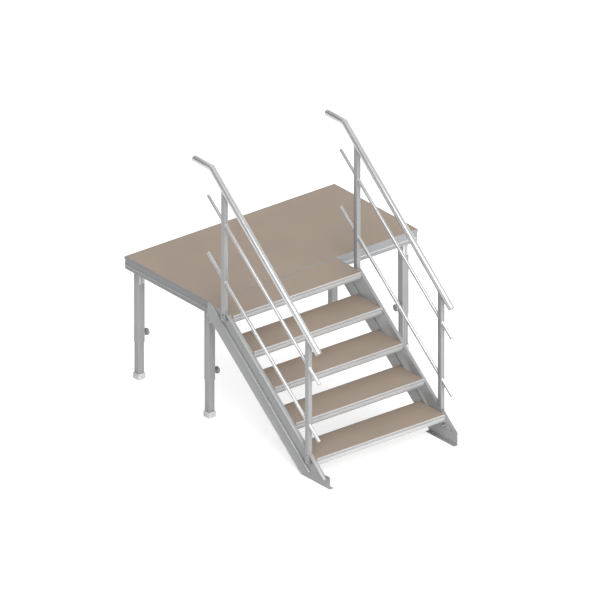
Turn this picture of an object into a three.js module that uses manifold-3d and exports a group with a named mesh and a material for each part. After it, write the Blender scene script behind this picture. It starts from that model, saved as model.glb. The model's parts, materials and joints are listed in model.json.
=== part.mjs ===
// Stage riser platform: an aluminium-framed stage deck on four telescopic legs,
// with a five-step stair hooked on its front edge and a handrail on each side
// of the stair.
//
// Millimetres, +Z up. The pieces are laid out about the middle of the deck, with
// X along the deck, +Y to its back and Z = 0 on the floor. The whole group is
// then shifted so that its origin is the bottom centre of its bounding box.

import * as THREE from 'three';
import { mergeVertices } from 'three/addons/utils/BufferGeometryUtils.js';
import Module from 'manifold-3d';

const wasm = await Module();
wasm.setup();

// ---------- driving dimensions ----------

const GAP = 0.3; // left between pieces that touch
const SCREW_SIDES = 16; // facets round screws and small holes
const BOSS_SIDES = 24;

// Deck
const DECK_LENGTH = 2000;
const DECK_WIDTH = 1000;
const DECK_HEIGHT = 1000;
const PANEL_THICKNESS = 18;
const RAIL_HEIGHT = 100;
const RAIL_THICKNESS = 44;
const RAIL_LOWER_THICKNESS = 28;
const RAIL_LIP = 7; // from the deck's edge to the panel
const RAIL_WALL = 3;
const CREST_LEAN = 1.5; // the rail's upper edge leans in by this much at its top
const CREST_HEIGHT = 19;
const CREST_FOOT = 2; // height of the slope from the crest back to the band
const BEAD_MIDDLE = 65.5; // depth below the deck's top of the bead along the rail
const BEAD_RADIUS = 4.5;
const BAND_RECESS = BEAD_RADIUS; // how far the bands above and below the bead lie behind it
const BEAM_SIZE = 40;
const BEAM_WALL = 2.5;
const BEAM_SPACING = 500;

// Legs
const LEG_INSET = 80; // leg axis in from the deck's outer faces
const LEG_TUBE = 60;
const LEG_TUBE_WALL = 3;
const LEG_TUBE_BOTTOM = 310;
const LEG_TUBE_RADIUS = 4;
const LEG_TUBE_FLUTE = { middle: 0, width: 9, depth: 1.2 };
const SOCKET_WALL = 5;
const SOCKET_FIT = 0.4;
const SLIDE_FIT = 0.4;
const INNER_TUBE_TOP = 620;
const INNER_TUBE_BORE = 40;
const INNER_TUBE_RADIUS = 3;
const INNER_TUBE_FLUTES = [-11, 11].map((middle) => ({ middle, width: 9, depth: 3.6 }));
const FOOT_SIZE = 67;
const FOOT_HEIGHT = 50;
const FOOT_SOLE = 8;
const FOOT_CHAMFER = 3;

// Clamp knob on each leg
const KNOB_Z = 365;
const KNOB_NEAR = 56; // inner face of the knob from the leg's axis
const KNOB_THICKNESS = 24;
const KNOB_RADIUS = 29;
const KNOB_LOBES = 8;
const KNOB_LOBE_DEPTH = 2.4;
const KNOB_LOBE_FACETS = 8; // facets round each lobe
const SCREW_RADIUS = 5.5;
const SCREW_OVERLAP = 2; // how far the screw runs into the knob
const BOSS_BORE_RADIUS = 6;
const BOSS_LENGTH = 22;
const BOSS_RADIUS = 15;
const BOSS_FLANGE_RADIUS = 21;
const BOSS_FLANGE = 5;
const BOSS_SHOULDER = 2; // height of the slope between the flange and the boss

// Stair
const STEP_COUNT = 5;
const STEP_RISE = DECK_HEIGHT / STEP_COUNT;
const STEP_GOING = 250;
const TREAD_DEPTH = 304;
const TREAD_BACK_GAP = 6; // from the top tread to the deck's front face
const TREAD_THICKNESS = 40;
const NOSING_HEIGHT = 60;
const NOSING_DEPTH = 34;
const NOSING_ROUND = 4;
const NOSING_TURN = 40.8; // depth below the tread's top where the nosing starts to lean back
const NOSING_LEAN = 8;
const TREAD_WALL = 3;
const TREAD_LIP = 5; // in front of the board
const TREAD_BACK_LIP = 2;
const TREAD_BEAM = 26;
const TREAD_END_BAR = 20;
const STAIR_CENTRE_X = -397;
const STAIR_CLEAR_WIDTH = 1216;

// Stringers
const STRINGER_HEIGHT = 250; // square to the slope
const STRINGER_WIDTH = 33; // from the web's inner face to the crown's outer face
const STRINGER_WALL = 5;
const STRINGER_CROWN = 22; // height of the hollow rounded crown along its top
const STRINGER_CROWN_RADIUS = 10;
const STRINGER_CROWN_WALL = 4;
const STRINGER_RIB_DEPTH = 137; // below the top, square to the slope
const STRINGER_RIB_RADIUS = 9;
const STRINGER_RIB_REACH = 22; // from the web's inner face
const STRINGER_GROOVE = [5, 17]; // half the width, and the depth, of the groove behind the rib
const STRINGER_BEAD_RADIUS = 4; // of the half-round bead along the bottom
const STRINGER_DROP = 24; // top of the stringer below the line of the nosings
const STRINGER_END_GAP = 5; // from the deck's front face
const STRINGER_TAIL = [[250, 1], [190, 1], [50, 78]]; // its lower end: Y from the bottom nosing, and Z

// Stair feet
const STAIR_FOOT_WALL = 6;
const STAIR_FOOT_BASE = 30;
const STAIR_FOOT_FRONT = 150; // front edge ahead of the bottom nosing
const STAIR_FOOT_LENGTH = 335;
const STAIR_FOOT_HEIGHT = 100;
const STAIR_FOOT_SHOULDER = [78, 115]; // where the plate's upper edge rises, from its front
const STAIR_FOOT_HEEL = [40, 60]; // how far the plate's back corner stands out, and its height
const STAIR_FOOT_TOP_BACK = 10; // the upper edge ends this far ahead of the base's back
const STAIR_FOOT_CLEARANCE = 12; // under the bottom tread's nosing

// Hooks that hang the stair on the deck's front rail
const HOOK_WIDTH = 120;
const HOOK_SPREAD = 380; // each hook from the middle of the stair
const HOOK_WALL = 5;
const HOOK_REACH = 60;
const HOOK_BOTTOM = 86; // below the deck's top
const HOOK_CLEARANCE = 4; // from the deck's front face
const HANGER_MARGIN = 10; // at each side of the hook
const HANGER_WALL = 4;
const HANGER_OUT = 17;
const HANGER_TOP = 73;
const HANGER_BOTTOM = 92;

// Handrails
const POST_DEPTH = 40; // along Y
const POST_WIDTH = 34; // along X
const POST_WALL = 3;
const POST_UPPER_Y = -732;
const POST_LOWER_Y = -1734;
const POST_BOTTOM_DROP = 95; // foot of a post below the line of the stringer's top
const TOP_RAIL_RADIUS = 25;
const TOP_RAIL_WALL = 3;
const TOP_RAIL_SIDES = 24;
const TOP_RAIL_LOW = [-1857, 1085]; // Y and Z of its centre line
const TOP_RAIL_BEND = [-579, 2145];
const TOP_RAIL_END_Y = -372;
const MID_RAIL_RADIUS = 13;
const MID_RAIL_WALL = 2;
const MID_RAIL_SIDES = 16;
const SEAT_SIDES = 48; // facets round the seats and holes cut for the rails
const MID_RAIL_LOW_Y = -1863;
const MID_RAIL_HIGH_Y = -535;
const MID_RAIL_HEIGHTS = { upper: 744, lower: 272 }; // above the deck at the upper post

// ---------- materials ----------

const material = (color, roughness, metalness) =>
  new THREE.MeshStandardMaterial({ color, roughness, metalness });
const ALUMINIUM = material(0xb4b7ba, 0.38, 0.9);
const BRIGHT_ALUMINIUM = material(0xdfe1e3, 0.28, 0.9);
const FRAME_ALUMINIUM = material(0x979b9d, 0.45, 0.85);
const DECKING = material(0xa09283, 0.75, 0);
const FOOT_PLASTIC = material(0xc9cccd, 0.6, 0);
const KNOB_PLASTIC = material(0x77797b, 0.55, 0);

// ---------- geometry helpers ----------

function solidOf(geometry) {
  const bare = geometry.clone();
  bare.deleteAttribute('normal');
  bare.deleteAttribute('uv');
  const merged = mergeVertices(bare, 1e-4);
  const vertProperties = new Float32Array(merged.attributes.position.array);
  const triVerts = new Uint32Array(merged.index.array);
  return new wasm.Manifold(new wasm.Mesh({ numProp: 3, vertProperties, triVerts }));
}

function geometryOf(solid) {
  const mesh = solid.getMesh();
  const indexed = new THREE.BufferGeometry();
  indexed.setAttribute('position', new THREE.BufferAttribute(mesh.vertProperties, mesh.numProp));
  indexed.setIndex(new THREE.BufferAttribute(mesh.triVerts, 1));
  const geometry = indexed.toNonIndexed();
  geometry.computeVertexNormals();
  return geometry;
}

const join = (...geometries) =>
  geometryOf(geometries.map(solidOf).reduce((whole, next) => whole.add(next)));

const cut = (geometry, ...tools) =>
  geometryOf(tools.map(solidOf).reduce((whole, tool) => whole.subtract(tool), solidOf(geometry)));

// A box between two corners.
function block(low, high) {
  const size = high.map((value, axis) => value - low[axis]);
  const centre = high.map((value, axis) => (value + low[axis]) / 2);
  return new THREE.BoxGeometry(...size).translate(...centre);
}

function shapeOf(points, holes = []) {
  const shape = new THREE.Shape(points.map(([x, y]) => new THREE.Vector2(x, y)));
  for (const hole of holes) {
    shape.holes.push(new THREE.Path(hole.map(([x, y]) => new THREE.Vector2(x, y))));
  }
  return shape;
}

const extrude = (shape, depth) => new THREE.ExtrudeGeometry(shape, { depth, bevelEnabled: false });

// A section drawn in Y and Z, run along X.
function prismAlongX(shape, fromX, toX) {
  const turn = new THREE.Matrix4().makeBasis(
    new THREE.Vector3(0, 1, 0),
    new THREE.Vector3(0, 0, 1),
    new THREE.Vector3(1, 0, 0),
  );
  return extrude(shape, toX - fromX).applyMatrix4(turn).translate(fromX, 0, 0);
}

const rectangle = (x0, y0, x1, y1) => [[x0, y0], [x1, y0], [x1, y1], [x0, y1]];

// Points along an arc between two angles in degrees, both ends included.
function arcPoints([x, y], radius, from, to, steps) {
  const points = [];
  for (let step = 0; step <= steps; step += 1) {
    const angle = THREE.MathUtils.degToRad(from + ((to - from) * step) / steps);
    points.push([x + radius * Math.cos(angle), y + radius * Math.sin(angle)]);
  }
  return points;
}

// The outline of a square bar with rounded corners. Each side carries the same
// flutes, given as the middle of the flute, its width and its depth.
function flutedSquare(size, radius, flutes) {
  const half = size / 2;
  const side = [];
  for (const { middle, width, depth } of flutes) {
    side.push([half, middle - width / 2]);
    side.push([half - depth, middle - width / 2 + depth / 2]);
    side.push([half - depth, middle + width / 2 - depth / 2]);
    side.push([half, middle + width / 2]);
  }
  side.push(...arcPoints([half - radius, half - radius], radius, 0, 90, 3));
  const outline = [];
  for (let quarter = 0; quarter < 4; quarter += 1) {
    for (const [x, y] of side) {
      const turned = new THREE.Vector2(x, y).rotateAround(new THREE.Vector2(), quarter * (Math.PI / 2));
      outline.push([turned.x, turned.y]);
    }
  }
  return outline;
}

// A round tube along straight stretches in a plane of constant X, with mitred bends.
function mitredTube(path, radius, wall, sides) {
  const points = path.map(([y, z]) => new THREE.Vector3(0, y, z));
  const across = new THREE.Vector3(1, 0, 0);
  const positions = [];
  const directions = points.slice(1).map((point, i) => point.clone().sub(points[i]).normalize());
  points.forEach((point, i) => {
    const before = directions[Math.max(i - 1, 0)];
    const after = directions[Math.min(i, directions.length - 1)];
    const mitre = before.clone().add(after).normalize();
    const up = before.clone().cross(across);
    for (const ringRadius of [radius, radius - wall]) {
      for (let k = 0; k < sides; k += 1) {
        const angle = (k / sides) * 2 * Math.PI;
        const offset = across.clone().multiplyScalar(ringRadius * Math.cos(angle));
        offset.addScaledVector(up, ringRadius * Math.sin(angle));
        offset.addScaledVector(before, -offset.dot(mitre) / before.dot(mitre));
        positions.push(...offset.add(point).toArray());
      }
    }
  });
  const outer = (ring, k) => ring * 2 * sides + (k % sides);
  const inner = (ring, k) => outer(ring, k) + sides;
  const index = [];
  const quad = (a, b, c, d) => index.push(a, b, c, a, c, d);
  const last = points.length - 1;
  for (let k = 0; k < sides; k += 1) {
    for (let ring = 0; ring < last; ring += 1) {
      quad(outer(ring, k), outer(ring, k + 1), outer(ring + 1, k + 1), outer(ring + 1, k));
      quad(inner(ring, k), inner(ring + 1, k), inner(ring + 1, k + 1), inner(ring, k + 1));
    }
    quad(outer(0, k), inner(0, k), inner(0, k + 1), outer(0, k + 1));
    quad(outer(last, k), outer(last, k + 1), inner(last, k + 1), inner(last, k));
  }
  const geometry = new THREE.BufferGeometry();
  geometry.setAttribute('position', new THREE.Float32BufferAttribute(positions, 3));
  geometry.setIndex(index);
  geometry.computeVertexNormals();
  return geometry;
}

// A solid bar round a straight line in a plane of constant X, to cut tubes' seats and holes.
function barAlong([y0, z0], [y1, z1], radius, sides) {
  const length = Math.hypot(y1 - y0, z1 - z0);
  const bar = new THREE.CylinderGeometry(radius, radius, length, sides);
  bar.rotateX(Math.atan2(z1 - z0, y1 - y0));
  return bar.translate(0, (y0 + y1) / 2, (z0 + z1) / 2);
}

function named(name, geometry, look) {
  const mesh = new THREE.Mesh(geometry, look);
  mesh.name = name;
  return mesh;
}

// ---------- deck ----------

const DECK_FRONT = -DECK_WIDTH / 2;
const RAIL_LEDGE = PANEL_THICKNESS;

// The rail's section: how far each point lies inside the deck's edge, and its height.
// A narrow lip edges the panel, and a ledge carries it. Outside, a crest runs along
// the top, and a half-round bead between the two flat bands. Two chambers make it a
// hollow extrusion.
function railSection() {
  const outline = [
    [CREST_LEAN, 0],
    [RAIL_LIP, 0],
    [RAIL_LIP, -RAIL_LEDGE],
    [RAIL_THICKNESS, -RAIL_LEDGE],
    [RAIL_THICKNESS, -BEAD_MIDDLE],
    [RAIL_LOWER_THICKNESS, -BEAD_MIDDLE],
    [RAIL_LOWER_THICKNESS, -RAIL_HEIGHT],
    [BAND_RECESS, -RAIL_HEIGHT],
    ...arcPoints([BEAD_RADIUS, -BEAD_MIDDLE], BEAD_RADIUS, 270, 90, 5),
    [BAND_RECESS, -CREST_HEIGHT - CREST_FOOT],
    [0, -CREST_HEIGHT],
  ];
  const upper = rectangle(
    BAND_RECESS + RAIL_WALL,
    -BEAD_MIDDLE + RAIL_WALL,
    RAIL_THICKNESS - RAIL_WALL,
    -RAIL_LEDGE - RAIL_WALL,
  );
  const lower = rectangle(
    BAND_RECESS + RAIL_WALL,
    -RAIL_HEIGHT + RAIL_WALL,
    RAIL_LOWER_THICKNESS - RAIL_WALL,
    -BEAD_MIDDLE - RAIL_WALL,
  );
  return shapeOf(outline, [upper, lower]);
}

// One rail along X with its outer face at y = 0 and its ends mitred at 45 degrees.
function frameRail(length) {
  const geometry = extrude(railSection(), 1);
  const position = geometry.attributes.position;
  for (let i = 0; i < position.count; i += 1) {
    const inward = position.getX(i);
    const height = position.getY(i);
    const end = position.getZ(i) > 0.5 ? 1 : -1;
    position.setXYZ(i, end * (length / 2 - inward - GAP), inward, height);
  }
  geometry.computeVertexNormals();
  return geometry;
}

function deckFrame() {
  const rails = new THREE.Group();
  const places = [
    ['front', DECK_LENGTH, 0, -DECK_WIDTH / 2, 0],
    ['back', DECK_LENGTH, 0, DECK_WIDTH / 2, Math.PI],
    ['left', DECK_WIDTH, -DECK_LENGTH / 2, 0, -Math.PI / 2],
    ['right', DECK_WIDTH, DECK_LENGTH / 2, 0, Math.PI / 2],
  ];
  for (const [side, length, x, y, turn] of places) {
    const rail = named(`frame_rail_${side}`, frameRail(length), FRAME_ALUMINIUM);
    rail.position.set(x, y, DECK_HEIGHT);
    rail.rotation.z = turn;
    rails.add(rail);
  }
  return rails;
}

function deckPanel() {
  const halfLength = DECK_LENGTH / 2 - RAIL_LIP - GAP;
  const halfWidth = DECK_WIDTH / 2 - RAIL_LIP - GAP;
  const low = [-halfLength, -halfWidth, DECK_HEIGHT - PANEL_THICKNESS + GAP];
  return named('deck_panel', block(low, [halfLength, halfWidth, DECK_HEIGHT]), DECKING);
}

function crossBeams() {
  const beams = new THREE.Group();
  const half = BEAM_SIZE / 2;
  const bore = half - BEAM_WALL;
  const section = shapeOf(rectangle(-half, -half, half, half), [rectangle(-bore, -bore, bore, bore)]);
  const length = DECK_WIDTH - 2 * (RAIL_THICKNESS + GAP);
  const top = DECK_HEIGHT - PANEL_THICKNESS - GAP;
  ['left', 'centre', 'right'].forEach((place, i) => {
    const geometry = prismAlongX(section, -length / 2, length / 2).rotateZ(Math.PI / 2);
    const beam = named(`cross_beam_${place}`, geometry, ALUMINIUM);
    beam.position.set((i - 1) * BEAM_SPACING, 0, top - half);
    beams.add(beam);
  });
  return beams;
}

// ---------- legs ----------

// Each piece of a leg is drawn about the leg's axis, with the knob on the +X side.

function legSocket() {
  const half = LEG_INSET - RAIL_THICKNESS - GAP;
  const bore = LEG_TUBE / 2 + SOCKET_FIT;
  const top = DECK_HEIGHT - PANEL_THICKNESS - 2 * GAP;
  const bottom = DECK_HEIGHT - RAIL_HEIGHT;
  const body = block([-half, -half, bottom], [half, half, top]);
  return cut(body, block([-bore, -bore, bottom - 1], [bore, bore, top - SOCKET_WALL]));
}

function legOuterTube() {
  const bore = LEG_TUBE / 2 - LEG_TUBE_WALL;
  const outline = flutedSquare(LEG_TUBE, LEG_TUBE_RADIUS, [LEG_TUBE_FLUTE]);
  const section = shapeOf(outline, [rectangle(-bore, -bore, bore, bore)]);
  const top = DECK_HEIGHT - PANEL_THICKNESS - 3 * GAP - SOCKET_WALL;
  const tube = extrude(section, top - LEG_TUBE_BOTTOM).translate(0, 0, LEG_TUBE_BOTTOM);
  const drill = new THREE.CylinderGeometry(BOSS_BORE_RADIUS, BOSS_BORE_RADIUS, LEG_TUBE, SCREW_SIDES);
  drill.rotateZ(Math.PI / 2).translate(LEG_TUBE / 2, 0, KNOB_Z);
  return cut(tube, drill);
}

function legInnerTube() {
  const size = LEG_TUBE - 2 * (LEG_TUBE_WALL + SLIDE_FIT);
  const half = INNER_TUBE_BORE / 2;
  const outline = flutedSquare(size, INNER_TUBE_RADIUS, INNER_TUBE_FLUTES);
  const section = shapeOf(outline, [rectangle(-half, -half, half, half)]);
  const bottom = FOOT_SOLE + GAP;
  return extrude(section, INNER_TUBE_TOP - bottom).translate(0, 0, bottom);
}

function legFoot() {
  const half = FOOT_SIZE / 2;
  const small = half - FOOT_CHAMFER;
  const profile = shapeOf([
    [-small, 0],
    [small, 0],
    [half, FOOT_CHAMFER],
    [half, FOOT_HEIGHT - FOOT_CHAMFER],
    [small, FOOT_HEIGHT],
    [-small, FOOT_HEIGHT],
    [-half, FOOT_HEIGHT - FOOT_CHAMFER],
    [-half, FOOT_CHAMFER],
  ]);
  const alongX = solidOf(prismAlongX(profile, -half, half));
  const alongY = solidOf(prismAlongX(profile, -half, half).rotateZ(Math.PI / 2));
  const bore = LEG_TUBE / 2 - LEG_TUBE_WALL - SLIDE_FIT + GAP;
  const hollow = solidOf(block([-bore, -bore, FOOT_SOLE], [bore, bore, FOOT_HEIGHT + 1]));
  return geometryOf(alongX.intersect(alongY).subtract(hollow));
}

// A flanged round boss, turned on its own axis and laid along +X.
function clampBoss() {
  const profile = [
    [BOSS_BORE_RADIUS, 0],
    [BOSS_FLANGE_RADIUS, 0],
    [BOSS_FLANGE_RADIUS, BOSS_FLANGE],
    [BOSS_RADIUS + BOSS_SHOULDER / 2, BOSS_FLANGE + BOSS_SHOULDER],
    [BOSS_RADIUS, BOSS_LENGTH],
    [BOSS_BORE_RADIUS, BOSS_LENGTH],
    [BOSS_BORE_RADIUS, 0],
  ].map(([radius, along]) => new THREE.Vector2(radius, along));
  const boss = new THREE.LatheGeometry(profile, BOSS_SIDES).rotateZ(-Math.PI / 2);
  return boss.translate(LEG_TUBE / 2 + GAP, 0, KNOB_Z);
}

// A lobed hand knob on its screw, whose tip bears on the inner tube.
function clampKnob() {
  const steps = KNOB_LOBES * KNOB_LOBE_FACETS;
  const outline = [];
  for (let i = 0; i < steps; i += 1) {
    const angle = (i / steps) * 2 * Math.PI;
    const wave = (1 - Math.cos(KNOB_LOBES * angle)) / 2;
    const radius = KNOB_RADIUS - KNOB_LOBE_DEPTH * wave;
    outline.push([radius * Math.cos(angle), radius * Math.sin(angle)]);
  }
  const knob = prismAlongX(shapeOf(outline), KNOB_NEAR, KNOB_NEAR + KNOB_THICKNESS);
  const tip = LEG_TUBE / 2 - LEG_TUBE_WALL;
  const length = KNOB_NEAR + SCREW_OVERLAP - tip;
  const screw = new THREE.CylinderGeometry(SCREW_RADIUS, SCREW_RADIUS, length, SCREW_SIDES);
  screw.rotateZ(Math.PI / 2).translate(tip + length / 2, 0, 0);
  return join(knob, screw).translate(0, 0, KNOB_Z);
}

function legs() {
  const all = new THREE.Group();
  for (const [end, sideways] of [['left', -1], ['right', 1]]) {
    for (const [edge, forward] of [['front', -1], ['back', 1]]) {
      const place = `${edge}_${end}`;
      const leg = new THREE.Group();
      leg.position.x = sideways * (DECK_LENGTH / 2 - LEG_INSET);
      leg.position.y = forward * (DECK_WIDTH / 2 - LEG_INSET);
      leg.rotation.z = sideways > 0 ? Math.PI : 0;
      leg.add(named(`leg_socket_${place}`, legSocket(), FRAME_ALUMINIUM));
      leg.add(named(`leg_outer_tube_${place}`, legOuterTube(), ALUMINIUM));
      leg.add(named(`leg_inner_tube_${place}`, legInnerTube(), ALUMINIUM));
      leg.add(named(`leg_foot_${place}`, legFoot(), FOOT_PLASTIC));
      leg.add(named(`clamp_boss_${place}`, clampBoss(), ALUMINIUM));
      leg.add(named(`clamp_knob_${place}`, clampKnob(), KNOB_PLASTIC));
      all.add(leg);
    }
  }
  return all;
}

// ---------- stair ----------

// The stair is drawn about its own middle, x = 0. Its slope is the line of the
// nosings, and 'outward' is -1 for the left side and 1 for the right.

const TOP_NOSING_Y = DECK_FRONT - TREAD_BACK_GAP - TREAD_DEPTH;
const BOTTOM_NOSING_Y = TOP_NOSING_Y - (STEP_COUNT - 1) * STEP_GOING;
const SLOPE = STEP_RISE / STEP_GOING;
const SLOPE_ANGLE = Math.atan(SLOPE);
const WEB_X = STAIR_CLEAR_WIDTH / 2;
const POST_X = WEB_X + STRINGER_WALL + GAP + POST_WIDTH / 2;

const stringerTopAt = (y) => DECK_HEIGHT - STRINGER_DROP + SLOPE * (y - TOP_NOSING_Y);
const stringerDepth = STRINGER_HEIGHT / Math.cos(SLOPE_ANGLE);
const between = (a, b) => [Math.min(a, b), Math.max(a, b)];

// A block given by how far its faces lie outside the middle of the stair.
function sideBlock(outward, nearX, farX, [y0, z0], [y1, z1]) {
  const [x0, x1] = between(outward * nearX, outward * farX);
  return block([x0, y0, z0], [x1, y1, z1]);
}

// The stringer's section: how far each point lies outside the web's inner face, and how
// far it is square to the slope from the top. A hollow rounded crown stands outside the
// web along its top, a round-nosed hollow rib runs below its middle, and a small bead
// along its bottom.
function stringerSection(outward) {
  const wall = STRINGER_WALL;
  const round = STRINGER_CROWN_RADIUS;
  const crownMiddle = STRINGER_WIDTH - round;
  const ribMiddle = [STRINGER_RIB_REACH - STRINGER_RIB_RADIUS, -STRINGER_RIB_DEPTH];
  const beadMiddle = STRINGER_BEAD_RADIUS - STRINGER_HEIGHT;
  const [grooveHalf, grooveDepth] = STRINGER_GROOVE;
  const outline = [
    [0, 0],
    ...arcPoints([crownMiddle, -round], round, 90, 0, 3),
    ...arcPoints([crownMiddle, round - STRINGER_CROWN], round, 0, -90, 3),
    [wall, -STRINGER_CROWN],
    [wall, ribMiddle[1] + STRINGER_RIB_RADIUS],
    ...arcPoints(ribMiddle, STRINGER_RIB_RADIUS, 90, -90, 6),
    [wall, ribMiddle[1] - STRINGER_RIB_RADIUS],
    ...arcPoints([wall, beadMiddle], STRINGER_BEAD_RADIUS, 90, -90, 4),
    [0, -STRINGER_HEIGHT],
    [0, ribMiddle[1] - grooveHalf],
    [grooveDepth, ribMiddle[1] - grooveHalf],
    [grooveDepth, ribMiddle[1] + grooveHalf],
    [0, ribMiddle[1] + grooveHalf],
  ];
  const inside = STRINGER_CROWN_WALL;
  const chamber = [
    [wall, -inside],
    [wall, inside - STRINGER_CROWN],
    ...arcPoints([crownMiddle, round - STRINGER_CROWN], round - inside, -90, 0, 3),
    ...arcPoints([crownMiddle, -round], round - inside, 0, 90, 3),
  ];
  const toSide = (points) => points.map(([out, up]) => [outward * out, up]);
  return shapeOf(toSide(outline), [toSide(chamber)]);
}

// Its head is cut level with the deck and upright at the deck's edge; its foot is cut
// to stand over the stair foot; notches in its crown let the posts in.
function stringer(outward) {
  const headY = DECK_FRONT;
  const tailY = BOTTOM_NOSING_Y - STAIR_FOOT_FRONT - STRINGER_HEIGHT;
  const length = (headY - tailY) / Math.cos(SLOPE_ANGLE);
  const downSlope = new THREE.Vector3(0, -Math.cos(SLOPE_ANGLE), -Math.sin(SLOPE_ANGLE));
  const squareToSlope = new THREE.Vector3(0, -Math.sin(SLOPE_ANGLE), Math.cos(SLOPE_ANGLE));
  const lay = new THREE.Matrix4().makeBasis(new THREE.Vector3(1, 0, 0), squareToSlope, downSlope);
  const spare = STRINGER_HEIGHT; // length beyond the head, trimmed off below
  const bar = extrude(stringerSection(outward), length + spare).applyMatrix4(lay);
  const startY = headY + spare * Math.cos(SLOPE_ANGLE);
  bar.translate(outward * WEB_X, startY, stringerTopAt(startY));

  const wide = STRINGER_WIDTH * 2;
  const cutterX = [WEB_X - wide, WEB_X + wide];
  const beyond = headY + DECK_WIDTH;
  const above = DECK_HEIGHT * 2;
  const aboveDeck = sideBlock(outward, ...cutterX, [tailY, DECK_HEIGHT], [beyond, above]);
  const atDeckEdge = sideBlock(outward, ...cutterX, [headY - STRINGER_END_GAP, 0], [beyond, above]);
  const tail = STRINGER_TAIL.map(([y, z]) => [BOTTOM_NOSING_Y + y, z]);
  const tailFront = tailY - STRINGER_HEIGHT;
  const tailCut = prismAlongX(
    shapeOf([
      ...tail,
      [tailFront, tail[2][1]],
      [tailFront, -DECK_HEIGHT],
      [tail[0][0], -DECK_HEIGHT],
    ]),
    ...between(outward * cutterX[0], outward * cutterX[1]),
  );
  const half = POST_DEPTH / 2 + GAP;
  const notches = [POST_UPPER_Y, POST_LOWER_Y].map((y) => {
    const low = [y - half, stringerTopAt(y) - stringerDepth / 4];
    const high = [y + half, stringerTopAt(y) + stringerDepth / 4];
    return sideBlock(outward, WEB_X + STRINGER_WALL, WEB_X + wide, low, high);
  });
  return cut(bar, aboveDeck, atDeckEdge, tailCut, ...notches);
}

// An angle under the foot of a stringer: an upright plate inside its web and a base
// flange that stands on the floor.
function stairFoot(outward) {
  const front = BOTTOM_NOSING_Y - STAIR_FOOT_FRONT;
  const back = front + STAIR_FOOT_LENGTH;
  const underTread = STEP_RISE - NOSING_HEIGHT - STAIR_FOOT_CLEARANCE;
  const [heelOut, heelHeight] = STAIR_FOOT_HEEL;
  const outline = [
    [front, 0],
    [back, 0],
    [back + heelOut, heelHeight],
    [back - STAIR_FOOT_TOP_BACK, underTread],
    [front + STAIR_FOOT_SHOULDER[1], underTread],
    [front + STAIR_FOOT_SHOULDER[0], STAIR_FOOT_HEIGHT],
    [front, STAIR_FOOT_HEIGHT],
  ];
  const outerX = WEB_X - GAP;
  const innerX = outerX - STAIR_FOOT_WALL;
  const plate = prismAlongX(shapeOf(outline), ...between(outward * innerX, outward * outerX));
  const baseX = innerX - STAIR_FOOT_BASE;
  const base = sideBlock(outward, baseX, outerX, [front, 0], [back, STAIR_FOOT_WALL]);
  return join(plate, base);
}

// A tread: a hollow nosing, a back beam and two end bars round an open underside.
function treadFrame() {
  const outline = [
    ...arcPoints([NOSING_ROUND, -NOSING_ROUND], NOSING_ROUND, 180, 90, 2),
    [TREAD_DEPTH, 0],
    [TREAD_DEPTH, -TREAD_THICKNESS],
    [NOSING_DEPTH, -TREAD_THICKNESS],
    [NOSING_DEPTH, -NOSING_HEIGHT],
    [NOSING_LEAN, -NOSING_HEIGHT],
    [0, -NOSING_TURN],
  ];
  const under = -PANEL_THICKNESS - TREAD_WALL;
  const nosingBore = rectangle(
    NOSING_LEAN + TREAD_WALL,
    -NOSING_HEIGHT + TREAD_WALL,
    NOSING_DEPTH - TREAD_WALL,
    under,
  );
  const backBore = rectangle(
    TREAD_DEPTH - TREAD_BEAM + TREAD_WALL,
    -TREAD_THICKNESS + TREAD_WALL,
    TREAD_DEPTH - TREAD_WALL,
    under,
  );
  const half = WEB_X - GAP;
  const bar = prismAlongX(shapeOf(outline, [nosingBore, backBore]), -half, half);
  const recess = block(
    [-half - 1, TREAD_LIP, -PANEL_THICKNESS],
    [half + 1, TREAD_DEPTH - TREAD_BACK_LIP, 1],
  );
  const underside = block(
    [-half + TREAD_END_BAR, NOSING_DEPTH, -NOSING_HEIGHT],
    [half - TREAD_END_BAR, TREAD_DEPTH - TREAD_BEAM, 1],
  );
  return cut(bar, recess, underside);
}

function treadBoard() {
  const half = WEB_X - 2 * GAP;
  return block(
    [-half, TREAD_LIP + GAP, -PANEL_THICKNESS + GAP],
    [half, TREAD_DEPTH - TREAD_BACK_LIP - GAP, 0],
  );
}

function treads() {
  const steps = new THREE.Group();
  for (let step = 1; step <= STEP_COUNT; step += 1) {
    const tread = new THREE.Group();
    tread.position.y = BOTTOM_NOSING_Y + (step - 1) * STEP_GOING;
    tread.position.z = step * STEP_RISE;
    tread.add(named(`tread_frame_${step}`, treadFrame(), BRIGHT_ALUMINIUM));
    tread.add(named(`tread_board_${step}`, treadBoard(), DECKING));
    steps.add(tread);
  }
  return steps;
}

// A plate under the top tread whose tongue drops behind the hanger's lip.
function hook() {
  const top = DECK_HEIGHT - TREAD_THICKNESS - GAP;
  const back = DECK_FRONT - HOOK_CLEARANCE;
  const outline = [
    [back, top],
    [back, DECK_HEIGHT - HOOK_BOTTOM],
    [back - HOOK_WALL, DECK_HEIGHT - HOOK_BOTTOM],
    [back - HOOK_WALL, top - HOOK_WALL],
    [back - HOOK_REACH, top - HOOK_WALL],
    [back - HOOK_REACH, top],
  ];
  return prismAlongX(shapeOf(outline), -HOOK_WIDTH / 2, HOOK_WIDTH / 2);
}

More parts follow.
